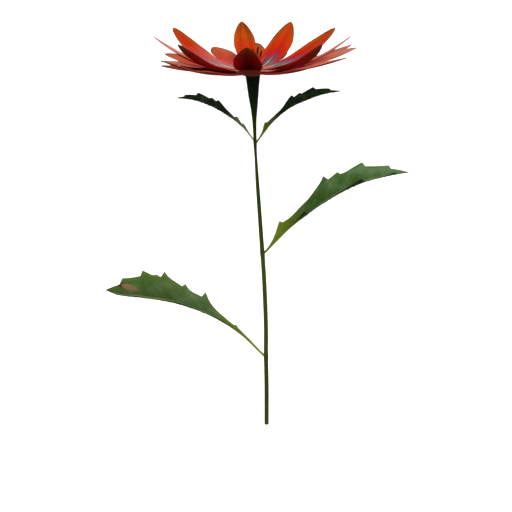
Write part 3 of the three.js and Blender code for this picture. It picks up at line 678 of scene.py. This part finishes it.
def petal_sheet(turn, reach, rise, width, upturn, twist, sag, sway, taper, root_height, draw):
    """Points of a petal's face and back, round the head's axis, and where each lies along and across it."""
    curl = TIP_CURLS.get(turn, 0)
    turn = math.radians(turn)
    outward = np.array([math.sin(turn), 0, math.cos(turn)])
    aside = np.array([math.cos(turn), 0, -math.sin(turn)])
    up = np.array([0, 1.0, 0])
    along = (np.arange(PETAL_ROWS + 1) / PETAL_ROWS) ** ROW_CROWDING
    curled = np.maximum(along - CURL_START, 0) / (1 - CURL_START)
    across = np.sin(np.linspace(-1, 1, PETAL_LANES + 1) * math.pi / 2)
    away = PETAL_ROOT_RADIUS + (reach - PETAL_ROOT_RADIUS) * along
    grown = np.sin(math.pi * along)
    height = root_height + rise * along**upturn - sag * grown + curl * curled**2
    middle = outward * away[:, None] + up * height[:, None]
    slope = up * np.gradient(height, along)[:, None]
    forward = unit(outward * (reach - PETAL_ROOT_RADIUS) + slope)
    turned = np.radians(twist * along**TWIST_POWER)[:, None]
    sideways = aside * np.cos(turned) + np.cross(forward, aside) * np.sin(turned)
    inward = unit(np.cross(forward, sideways))
    middle += sideways * (sway * grown)[:, None]
    widest = PETAL_SHOULDER / (PETAL_SHOULDER + taper)
    fullest = widest**PETAL_SHOULDER * (1 - widest) ** taper
    fullness = along**PETAL_SHOULDER * (1 - along) ** taper / fullest
    half = np.maximum(width / 2 * (PETAL_CLAW * (1 - along) ** 3 + fullness), PETAL_TIP)[:, None]
    phase = draw.uniform(0, 2 * math.pi, 6)
    left, right = (
        sum(
            size * grown * np.sin(radians * along + phase[side + 2 * swing])
            for swing, (size, radians) in enumerate(EDGE_SWINGS)
        )
        for side in (0, 1)
    )
    halves = half * (1 + np.where(across < 0, left[:, None], right[:, None]))
    along, grown = along[:, None], grown[:, None]
    pleat = PLEAT_DEPTH * np.cos(PLEATS * math.pi * across) * grown**0.7 * (1 - across**2) ** 0.5
    waves = np.sin(RIPPLE_TURNS * along + phase[4] + np.sign(across) * RIPPLE_LAG)
    ripple = EDGE_RIPPLE * grown * across**2 * waves
    lift = PETAL_CHANNEL * half * across**2 + pleat + ripple * half / RIPPLED_HALF
    thickening = (PETAL_THICKNESS - PETAL_EDGE_THICKNESS) * (1 - across**2) * (1 - TIP_THINNING * along)
    thickness = PETAL_EDGE_THICKNESS + thickening
    spread = sideways[:, None] * (halves * across)[..., None]
    face = middle[:, None] + spread + inward[:, None] * lift[..., None]
    back = face - inward[:, None] * thickness[..., None]
    seed = draw.uniform(0, 50)
    growth = np.stack(np.broadcast_arrays(along, across, seed), -1)
    return face, back, growth


# Patterns to each petal's length and to half its width, and a place of its own in the noise for each petal
FLAMES = (2.2, 2.6, 1.0)  # about 23 mm long and 3 mm wide
THREADS = (2.0, 9.0, 1.0)  # 0.8 mm wide
VEINS = (2.0, 12.0, 1.0)  # 0.6 mm wide


def petal_face():
    """Inner face: velvety, with soft flames of colour from a salmon root through grey and mauve to red,
    orange and an ochre tip, drawn out into fine lines along the petal. Some petals are painted pink, a
    painted sheen, and the one that points at the viewer brown, a painted shade; a faint pale bloom from
    the shader shows where any of them is seen at a low angle."""
    finish, grown = grown_finish("petal inner face")
    painted_light_and_mauve = add(finish, "Attribute", attribute_name="painted_light_and_mauve", give="Vector")
    painted_light_amount, mauve = (add(finish, "SeparateXYZ", [painted_light_and_mauve], give=axis) for axis in "XY")
    along, across = (add(finish, "SeparateXYZ", [grown], give=axis) for axis in "XY")
    drawn_out = add(finish, "VectorMath", [grown, FLAMES], operation="MULTIPLY")
    flame = add(finish, "TexNoise", {"Vector": drawn_out, "Scale": 1.0, "Detail": 3.0})
    threads = add(finish, "VectorMath", [grown, THREADS], operation="MULTIPLY")
    fine = add(finish, "TexNoise", {"Vector": threads, "Scale": 1.0, "Detail": 4.0})
    outer = add(finish, "Math", [across, 2.0], operation="POWER")
    licked = add(finish, "Math", [flame, 0.34, along], operation="MULTIPLY_ADD")
    inner = add(finish, "Math", [1.0, outer], operation="SUBTRACT")
    spread = add(finish, "Math", [mauve, 1.4, 0.18], operation="MULTIPLY_ADD")
    reach = add(finish, "Math", [inner, spread], operation="MULTIPLY")
    zone = add(finish, "Math", [licked, reach], operation="SUBTRACT")
    unpainted = add(finish, "ValToRGB", [zone], [
        (0.0, "#b8452c"), (0.06, "#8a5648"), (0.12, "#544840"), (0.23, "#64504e"), (0.3, "#7c3a52"),
        (0.38, "#9c2234"), (0.46, "#b41a02"), (0.66, "#b82e00"), (0.85, "#ae4200"), (1.0, "#883a02"),
    ])
    # Painted sheen: these pinks stand in for how a petal looks when it is seen at a low angle.
    sheen_pinks = add(finish, "ValToRGB", [zone], [
        (0.0, "#b8543c"), (0.12, "#7e5650"), (0.24, "#a06468"), (0.4, "#c0605c"), (0.7, "#cc6c5c"),
        (1.0, "#cc887a"),
    ])
    faint = add(finish, "Mix", {0: painted_light_amount, 6: unpainted, 7: sheen_pinks}, data_type="RGBA", give=2)
    # Painted shade: brown on the petal that points at the viewer, for the shade under the petal above it.
    browned = add(finish, "Math", [painted_light_amount, 1.0], operation="SUBTRACT", use_clamp=True)
    hue = add(finish, "Mix", {0: browned, 6: faint, 7: linear("#4c1e00")}, data_type="RGBA", give=2)
    ashen = add(finish, "MapRange", [fine, 0.52, 0.6])
    near_root = add(finish, "MapRange", [zone, 0.3, 0.12])
    frosted = add(finish, "Math", [ashen, near_root], operation="MULTIPLY")
    frost = add(finish, "Math", [frosted, 0.75], operation="MULTIPLY")
    pale = add(finish, "Mix", {0: frost, 6: hue, 7: linear("#c8b8b2")}, data_type="RGBA", give=2)
    at_root = add(finish, "MapRange", [along, 0.2, 0.1, 0.0, 0.8])
    rooted = add(finish, "Mix", {0: at_root, 6: pale, 7: linear("#bc5c42")}, data_type="RGBA", give=2)
    tone = add(finish, "MapRange", [fine, 0.35, 0.62, 0.74, 1.12])
    colour = add(finish, "VectorMath", {0: rooted, "Scale": tone}, operation="SCALE")
    return coat_with(
        finish, Base_Color=colour, Roughness=0.5, IOR=1.42, relief=(fine, 0.5, 0.12),
        Sheen_Weight=0.02, Sheen_Roughness=0.35, Sheen_Tint=linear("#ffd9cc"),
    )


def petal_back():
    """Back: smooth dark maroon with darker veins, brighter toward the sides, orange brown at the root and
    brown at the tip. The dark maroon is partly painted shade; the brighter sides and the orange brown root
    are partly painted light that lifts the deep shade among the layers; the pink on some petals is a
    painted sheen, and the brown on the petal that points at the viewer a painted shade."""
    finish, grown = grown_finish("petal back")
    along, across = (add(finish, "SeparateXYZ", [grown], give=axis) for axis in "XY")
    thread = add(finish, "VectorMath", [grown, VEINS], operation="MULTIPLY")
    fine = add(finish, "TexNoise", {"Vector": thread, "Scale": 1.0, "Detail": 3.0})
    # The orange brown first stops are partly painted light that lifts the deep shade at the roots, and the
    # dark maroon is partly painted shade.
    maroon = add(finish, "ValToRGB", [along], [
        (0.0, "#c06424"), (0.1, "#a04814"), (0.17, "#980602"), (0.5, "#800200"), (0.7, "#780200"),
        (0.86, "#600e02"), (1.0, "#58260a"),
    ])
    painted_light_and_mauve = add(finish, "Attribute", attribute_name="painted_light_and_mauve", give="Vector")
    painted_light = add(finish, "SeparateXYZ", [painted_light_and_mauve], give="X")
    # Painted sheen: pink on the thinnest petals, which are seen at a low angle.
    painted_light_amount = add(finish, "MapRange", [painted_light, 0.65, 1.0])
    faint = add(finish, "Mix", {0: painted_light_amount, 6: maroon, 7: linear("#b46660")}, data_type="RGBA", give=2)
    # Painted shade: brown on the petal that points at the viewer.
    browned = add(finish, "Math", [painted_light, 1.0], operation="SUBTRACT", use_clamp=True)
    hue = add(finish, "Mix", {0: browned, 6: faint, 7: linear("#520c00")}, data_type="RGBA", give=2)
    sides = add(finish, "Math", [across, 2.0], operation="POWER")
    lines = add(finish, "MapRange", [fine, 0.3, 0.7, 0.7, 1.15])
    tone = add(finish, "Math", [sides, 0.8, lines], operation="MULTIPLY_ADD")
    colour = add(finish, "VectorMath", {0: hue, "Scale": tone}, operation="SCALE")
    return coat_with(finish, Base_Color=colour, Roughness=0.8, IOR=1.4, relief=(fine, 0.4, 0.1))


petal_finishes = [petal_face(), petal_back()]
for number, (layer, (root_height, petals)) in enumerate(WHORLS.items()):
    draw = np.random.default_rng(11 + number)
    places, growth, painted_lights_and_mauves, faces, kinds = [], [], [], [], []
    for *petal, painted_light_left, painted_light_right, mauve in petals:
        face, back, grown = petal_sheet(*petal, root_height, draw)
        own_faces, own_kinds = sheet_faces(*face.shape[:2], 0)
        start = sum(len(part) for part in places)
        faces += [tuple(corner + start for corner in corners) for corners in own_faces]
        kinds += own_kinds
        places += [face.reshape(-1, 3), back.reshape(-1, 3)]
        growth += [grown.reshape(-1, 3)] * 2
        along, across = grown[..., 0].ravel(), grown[..., 1].ravel()
        # Painted light: the pink sheen and brown shade vary across each petal, and are taken off toward the
        # tip of the petals with mauve in them.
        unpainted = min(1, mauve / MOST_MAUVE) * np.interp(along, UNPAINTED_TIP, (0, 1))
        painted_light = (painted_light_left + (painted_light_right - painted_light_left) * (across + 1) / 2) * (1 - unpainted)
        painted_lights_and_mauves += [np.column_stack([painted_light, np.full(len(painted_light), mauve), np.zeros(len(painted_light))])] * 2
    growth = {"growth": np.vstack(growth), "painted_light_and_mauve": np.vstack(painted_lights_and_mauves)}
    places = on_head(np.vstack(places))
    whorl = make_piece(f"ray_petals_{layer}", places, faces, petal_finishes, kinds, growth)
    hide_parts("ray_petals")

# ---- Disc florets ----
# The tuft in the middle of the head: most of its small tubes are still closed buds, and a few have opened
# into five-lobed trumpets, each with a dark column of joined anthers that stands far out of it.
BUDS = 30
BUD_REACH = 3.5  # of the outermost bud's root from the head's axis
BUD_TOPS = (7.8, 6.0)  # above the petals' roots, in the middle and at the edge of the tuft
BUD_SPREAD = 1.3  # how much farther out a bud's top lies than its root
GOLDEN_TURN = 137.5077
OPEN_FLORETS = [  # turn round the head, root's and tip's distance from the axis, and height of the tip
    (95, 2.4, 5.2, 12.0), (143, 2.2, 5.2, 13.5), (178, 1.0, 1.4, 12.7), (25, 2.0, 2.8, 11.4),
    (300, 1.8, 2.4, 10.8), (238, 1.8, 2.4, 10.6),
]
FLORET_ROOT = 0.9  # above the petals' roots, and sunk in the seat
FLORET_SIDES = 20
LOBES = 5
LOBE_SPREAD = 0.5
# Each profile: share of the way to the tip, radius, and rise of the lobes
BUD_PROFILE = [(0, 0.36, 0), (0.45, 0.44, 0), (0.8, 0.52, 0), (0.93, 0.44, 0), (1, 0.14, 0)]
TRUMPET_PROFILE = [
    (0, 0.38, 0), (0.4, 0.42, 0), (0.58, 0.5, 0), (0.66, 0.66, 0.06), (0.71, 0.92, 0.2), (0.73, 1.1, 0.34),
    (0.72, 1.04, 0.32), (0.68, 0.72, 0.16), (0.62, 0.5, 0), (0.6, 0.3, 0),
]
COLUMN_PROFILE = [
    (0.59, 0.3, 0), (0.64, 0.44, 0), (0.8, 0.5, 0), (0.93, 0.48, 0), (0.98, 0.34, 0), (1, 0.16, 0.08),
]


def floret_body(turn, root_away, tip_away, tip_height, profile):
    """A tube of the profile round the line from a floret's root to its tip, with lobes at its mouth."""
    turn = math.radians(turn)
    outward = np.array([math.sin(turn), 0, math.cos(turn)])
    root = outward * root_away + [0, FLORET_ROOT, 0]
    tip = outward * tip_away + [0, tip_height, 0]
    axis = unit(tip - root)
    across = unit(np.cross(axis, [0.2, 0, 1.0]))
    angles = np.linspace(0, 2 * math.pi, FLORET_SIDES, endpoint=False)
    spoke = across * np.cos(angles)[:, None] + np.cross(across, axis) * np.sin(angles)[:, None]
    wave = np.cos(LOBES * angles)[:, None]
    rings = []
    for share, radius, lobe in profile:
        middle = root + (tip - root) * share
        rings.append(middle + axis * lobe * wave + spoke * radius * (1 + LOBE_SPREAD * lobe * wave))
    return ring_body(rings)


def floret_skin():
    """Fleshy orange tubes, browner at the root and a little mottled."""
    finish, up = grown_finish("floret tube")
    height = add(finish, "SeparateXYZ", [up], give="Y")
    speck = add(finish, "TexNoise", {"Vector": up, "Scale": 1.6, "Detail": 3.0})
    level = add(finish, "MapRange", [height, 0.0, 10.0])
    hue = add(finish, "ValToRGB", [level], [(0.0, "#6a3a22"), (0.5, "#9c4a22"), (1.0, "#b85a1e")])
    tone = add(finish, "MapRange", [speck, 0.3, 0.7, 0.7, 1.2])
    colour = add(finish, "VectorMath", {0: hue, "Scale": tone}, operation="SCALE")
    return coat_with(finish, Base_Color=colour, Roughness=0.5, IOR=1.4)


def anther_skin():
    """Dry dark red-brown anthers, dusted with ochre pollen."""
    finish, place = grown_finish("anther column")
    grain = add(finish, "TexVoronoi", {"Vector": place, "Scale": 4.0}, give="Distance")
    dust = add(finish, "MapRange", [grain, 0.24, 0.1])
    some = add(finish, "Math", [dust, 0.6], operation="MULTIPLY")
    anther_and_pollen = {0: some, 6: linear("#3c1408"), 7: linear("#96601e")}
    colour = add(finish, "Mix", anther_and_pollen, data_type="RGBA", give=2)
    return coat_with(finish, Base_Color=colour, Roughness=0.7, IOR=1.4, relief=(grain, 0.6, 0.08))


tubes = []
for bud in range(BUDS):
    share = math.sqrt((bud + 0.5) / BUDS)
    top = BUD_TOPS[0] + (BUD_TOPS[1] - BUD_TOPS[0]) * share**2
    away = BUD_REACH * share
    tubes.append(floret_body(bud * GOLDEN_TURN, away, BUD_SPREAD * away, top, BUD_PROFILE))
tubes += [floret_body(*floret, TRUMPET_PROFILE) for floret in OPEN_FLORETS]
columns = [floret_body(*floret, COLUMN_PROFILE) for floret in OPEN_FLORETS]
tufts = (("floret_tubes", tubes, floret_skin()), ("anther_columns", columns, anther_skin()))
for name, bodies, finish in tufts:
    points, faces = [], []
    for own_points, own_faces in bodies:
        start = len(points)
        points.extend(own_points)
        faces += [tuple(corner + start for corner in face) for face in own_faces]
    points = np.array(points)
    tuft = make_piece(name, on_head(points), faces, [finish], growth={"growth": points})
    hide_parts("disc_florets")

# ---- Table, light and view ----
# A plain white table with a lamp of its own, which throws no light back on the flower, a broad soft light
# beyond the head that shines along the flower, and a camera that looks down at the photograph's angle.
FLOOR_HALF = 3.0  # metres
FLOOR_DROP = 0.05  # millimetres below the flower, so that the two never share a plane
ROOM_LIGHT = 0.75
BROAD_LIGHT_OFF = Vector((0.15, 1.3, 0.7))  # metres from the head
BROAD_LIGHT_WATTS = 14
BROAD_LIGHT_SIDES = (1.0, 0.8)  # metres
TABLE_LIGHT_WATTS = 42
TABLE_LIGHT_RADIUS = 0.01  # metres
VIEW_RISE = math.radians(16.2)  # how far the viewer's line leans toward the top of the flower
VIEW_AWAY = 950
VIEW_CENTRE = (-6.36, 108.3, 0)
PIXEL = 0.6  # millimetres in the photograph at the stem
PICTURE = 512
FILM = 36


def view_matrix(eye, target, up):
    """A camera's place: at eye, looking at target, with up toward the top of the picture."""
    back = (eye - target).normalized()
    right = up.cross(back).normalized()
    top = back.cross(right)
    turn = Matrix((right, top, back)).transposed().to_4x4()
    return Matrix.Translation(eye) @ turn


def add_lamp(name, kind, place, energy, **settings):
    """A lamp at place, shining at the head, with its long side level."""
    lamp_data = bpy.data.lights.new(name, kind)
    lamp_data.energy = energy
    for option, value in settings.items():
        setattr(lamp_data, option, value)
    lamp = bpy.data.objects.new(name, lamp_data)
    lamp.matrix_world = view_matrix(place, head, Vector((0, 0, 1)))
    bpy.context.scene.collection.objects.link(lamp)
    return lamp


head = Vector(laid(on_head((0, 0, 0))))
toward_viewer = np.array([0, math.sin(VIEW_RISE), math.cos(VIEW_RISE)])
eye = Vector(laid(np.array(VIEW_CENTRE) + VIEW_AWAY * toward_viewer))
target = Vector(laid(VIEW_CENTRE))
upward = Vector(laid((0, 1000, 0)) - laid((0, 0, 0)))

floor_mesh = bpy.data.meshes.new("table_top")
corners = np.array([(-1, -1, 0), (1, -1, 0), (1, 1, 0), (-1, 1, 0)]) * FLOOR_HALF - [0, 0, FLOOR_DROP * MM]
floor_mesh.from_pydata(corners.tolist(), [], [(0, 1, 2, 3)])
floor = bpy.data.objects.new("table_top", floor_mesh)
table_finish = coat_with(new_finish("white table"), Base_Color=linear("#f4f4f4"), Roughness=0.9)
floor_mesh.materials.append(table_finish)
floor.visible_diffuse = False
floor.visible_glossy = False
table_only = bpy.data.collections.new("table_only")
bpy.context.scene.collection.children.link(table_only)
table_only.objects.link(floor)

world = bpy.data.worlds.new("soft room")
world.use_nodes = True
world.node_tree.nodes["Background"].inputs["Color"].default_value = (1, 1, 1, 1)
world.node_tree.nodes["Background"].inputs["Strength"].default_value = ROOM_LIGHT
bpy.context.scene.world = world

long_side, short_side = BROAD_LIGHT_SIDES
panel = {"shape": "RECTANGLE", "size": long_side, "size_y": short_side}
add_lamp("broad_light", "AREA", head + BROAD_LIGHT_OFF, BROAD_LIGHT_WATTS, **panel)
table_lamp = add_lamp("table_light", "POINT", eye, TABLE_LIGHT_WATTS, shadow_soft_size=TABLE_LIGHT_RADIUS)
table_lamp.light_linking.receiver_collection = table_only

camera_data = bpy.data.cameras.new("camera")
camera_data.sensor_width = FILM
camera_data.lens = FILM * VIEW_AWAY / PIXEL / PICTURE
camera = bpy.data.objects.new("camera", camera_data)
camera.matrix_world = view_matrix(eye, target, upward)
bpy.context.scene.collection.objects.link(camera)
bpy.context.scene.camera = camera
bpy.context.scene.view_settings.view_transform = "Standard"
